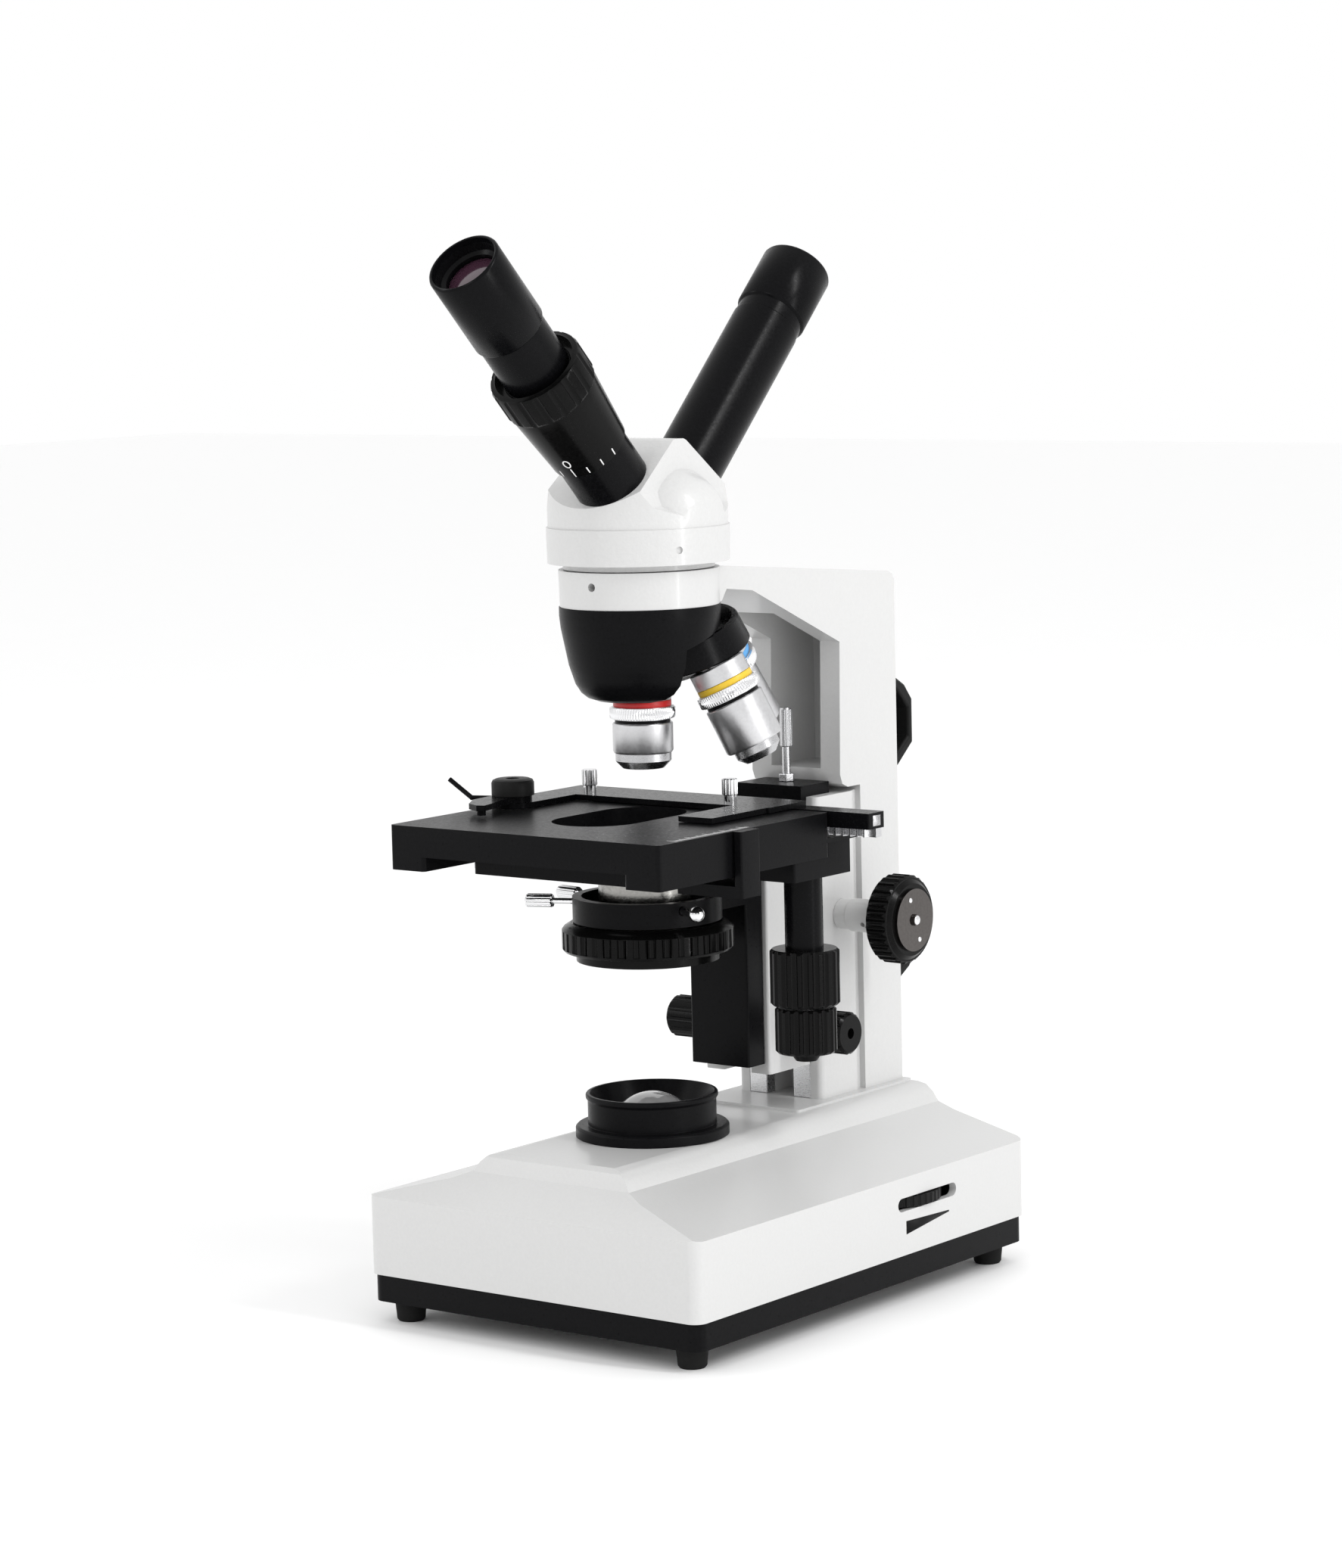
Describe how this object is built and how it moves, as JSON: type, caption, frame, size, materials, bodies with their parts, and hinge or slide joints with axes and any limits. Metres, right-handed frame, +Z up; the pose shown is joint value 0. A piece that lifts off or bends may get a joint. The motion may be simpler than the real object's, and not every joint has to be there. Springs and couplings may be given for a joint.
{
  "type": "compound microscope",
  "caption": "Upright compound microscope with a two-way inclined viewing head, turret of objectives, mechanical stage, condenser and lit base.",
  "frame": {"origin": "centre of the overall footprint, on the surface that the feet stand on", "axes": "+Z up; -Y towards the user's front eyepiece, +Y towards the arm; +X to the side of the coaxial stage drive"},
  "size_m": [0.1535, 0.2555, 0.3925],
  "materials": {
    "white_paint": "white enamel with a light orange-peel texture",
    "black_paint": "satin black",
    "rubber_black": "matt",
    "steel": "turned steel",
    "clear_glass": "polished",
    "ceramic": "ceramic",
    "board_green": "printed circuit board with parts",
    "black_plastic": "matt",
    "knob_black": "glossy",
    "chrome": "polished",
    "black_anodised": "satin black anodised",
    "satin_silver": "bead blasted",
    "eyepiece_black": "satin black anodised"
  },
  "bodies": {
    "frame": {"base_casting": "white_paint", "bottom_plate": "black_paint", "feet": "rubber_black", "plate_screws": "steel", "arm_casting": "white_paint", "slide_guides": "steel", "lamp_housing": "black_paint", "field_lens": "clear_glass", "lamp_socket": "ceramic", "lamp_bulb": "clear_glass", "driver_board": "board_green", "power_inlet": "black_plastic", "cord_hooks": "black_plastic", "nosepiece_housing": "black_paint", "stop_bracket": "black_paint", "stop_lock_nut": "steel", "tension_collars": "white_paint"},
    "stop": {"stop_screw": "steel"},
    "switch": {"power_switch": "knob_black"},
    "dimmer": {"dimmer_wheel": "black_plastic"},
    "carriage": {"focus_carriage": "white_paint", "focus_rack": "steel", "stage_base": "black_paint", "stage_y_rack": "steel", "vernier_post": "black_paint"},
    "coarse_focus": {"focus_shaft": "steel", "coarse_knobs": "knob_black", "coarse_cap": "chrome"},
    "fine_focus": {"fine_knob": "knob_black"},
    "stage_y": {"stage_plate": "black_paint", "drive_block": "black_paint"},
    "y_drive": {"y_drive_tube": "black_anodised", "y_knob": "knob_black"},
    "x_drive": {"x_drive_shaft": "steel", "x_knob": "knob_black"},
    "stage_x": {"x_bar": "black_anodised", "x_rack": "steel", "slide_holder": "black_anodised", "holder_screws": "chrome", "finger_cap": "black_plastic"},
    "finger": {"holder_finger": "black_anodised"},
    "condenser": {"condenser_bracket": "black_paint", "condenser_rack": "steel", "condenser_body": "satin_silver", "condenser_lens": "clear_glass", "condenser_screws": "chrome"},
    "condenser_drive": {"condenser_shaft": "steel", "condenser_knobs": "knob_black"},
    "iris": {"iris_ring": "knob_black"},
    "nosepiece": {"turret": "black_anodised", "objective_4x": "satin_silver", "objective_10x": "satin_silver", "objective_40x": "satin_silver", "objective_100x": "satin_silver"},
    "head": {"head_casting": "white_paint", "view_tubes": "eyepiece_black", "beam_splitter": "clear_glass"},
    "diopter": {"diopter_ring": "knob_black"},
    "front_ocular": {"eyepiece_front": "eyepiece_black"},
    "rear_ocular": {"eyepiece_rear": "eyepiece_black"}
  },
  "joints": [
    {"name": "focus_slide", "type": "slide", "parent": "frame", "child": "carriage", "axis": [0, 0, 1], "range_m": [-0.011, 0.003]},
    {"name": "coarse_turn", "type": "hinge", "parent": "frame", "child": "coarse_focus", "pos_m": [0, 0.0757, 0.135], "axis": [1, 0, 0], "range_deg": [-30, 110]},
    {"name": "fine_turn", "type": "hinge", "parent": "coarse_focus", "child": "fine_focus", "pos_m": [-0.052, 0.0757, 0.135], "axis": [1, 0, 0], "continuous": true},
    {"name": "stage_y_slide", "type": "slide", "parent": "carriage", "child": "stage_y", "axis": [0, 1, 0], "range_m": [0, 0.024]},
    {"name": "y_knob_turn", "type": "hinge", "parent": "stage_y", "child": "y_drive", "pos_m": [0.05, 0.009, 0.14], "axis": [0, 0, 1], "range_deg": [-1, 240]},
    {"name": "stage_x_slide", "type": "slide", "parent": "stage_y", "child": "stage_x", "axis": [1, 0, 0], "range_m": [-0.025, 0.025]},
    {"name": "x_knob_turn", "type": "hinge", "parent": "stage_y", "child": "x_drive", "pos_m": [0.05, 0.009, 0.12], "axis": [0, 0, 1], "range_deg": [-240, 240]},
    {"name": "finger_turn", "type": "hinge", "parent": "stage_x", "child": "finger", "pos_m": [-0.052, -0.031, 0.187], "axis": [0, 0, 1], "range_deg": [-25, 0], "stiffness_Nm_per_rad": 0.02, "springref_deg": 17.19},
    {"name": "condenser_slide", "type": "slide", "parent": "carriage", "child": "condenser", "axis": [0, 0, 1], "range_m": [-0.006, 0.006]},
    {"name": "condenser_turn", "type": "hinge", "parent": "carriage", "child": "condenser_drive", "pos_m": [0, 0.049, 0.095], "axis": [1, 0, 0], "range_deg": [-60, 80]},
    {"name": "iris_turn", "type": "hinge", "parent": "condenser", "child": "iris", "pos_m": [0, -0.019, 0.138], "axis": [0, 0, 1], "range_deg": [-45, 45]},
    {"name": "nosepiece_turn", "type": "hinge", "parent": "frame", "child": "nosepiece", "pos_m": [0.00258, -0.00063, 0.23703], "axis": [-0.043, -0.306, 0.9511], "continuous": true},
    {"name": "head_turn", "type": "hinge", "parent": "frame", "child": "head", "pos_m": [0, -0.019, 0.275], "axis": [0, 0, 1], "continuous": true},
    {"name": "diopter_turn", "type": "hinge", "parent": "head", "child": "diopter", "pos_m": [0.005, -0.019, 0.284], "axis": [0, -0.7071, 0.7071], "range_deg": [-60, 60]},
    {"name": "front_ocular_pull", "type": "slide", "parent": "head", "child": "front_ocular", "axis": [0, -0.7071, 0.7071], "range_m": [0, 0.03]},
    {"name": "rear_ocular_pull", "type": "slide", "parent": "head", "child": "rear_ocular", "axis": [0, 0.7071, 0.7071], "range_m": [0, 0.03]},
    {"name": "stop_screw_turn", "type": "hinge", "parent": "frame", "child": "stop", "pos_m": [0, 0.069, 0.19], "axis": [0, 0, 1], "range_deg": [-90, 90]},
    {"name": "dimmer_turn", "type": "hinge", "parent": "frame", "child": "dimmer", "pos_m": [0.055, 0.048, 0.036], "axis": [0, 0, 1], "range_deg": [-135, 135]},
    {"name": "switch_rock", "type": "hinge", "parent": "frame", "child": "switch", "pos_m": [0.023, 0.113, 0.034], "axis": [1, 0, 0], "range_deg": [0, 9]}
  ],
  "couplings": [
    {"joint": "coarse_turn", "follows": "focus_slide", "rad_per_m": -166.67},
    {"joint": "y_knob_turn", "follows": "stage_y_slide", "rad_per_m": 166.67},
    {"joint": "x_knob_turn", "follows": "stage_x_slide", "rad_per_m": -166.67},
    {"joint": "condenser_turn", "follows": "condenser_slide", "rad_per_m": -166.67}
  ]
}
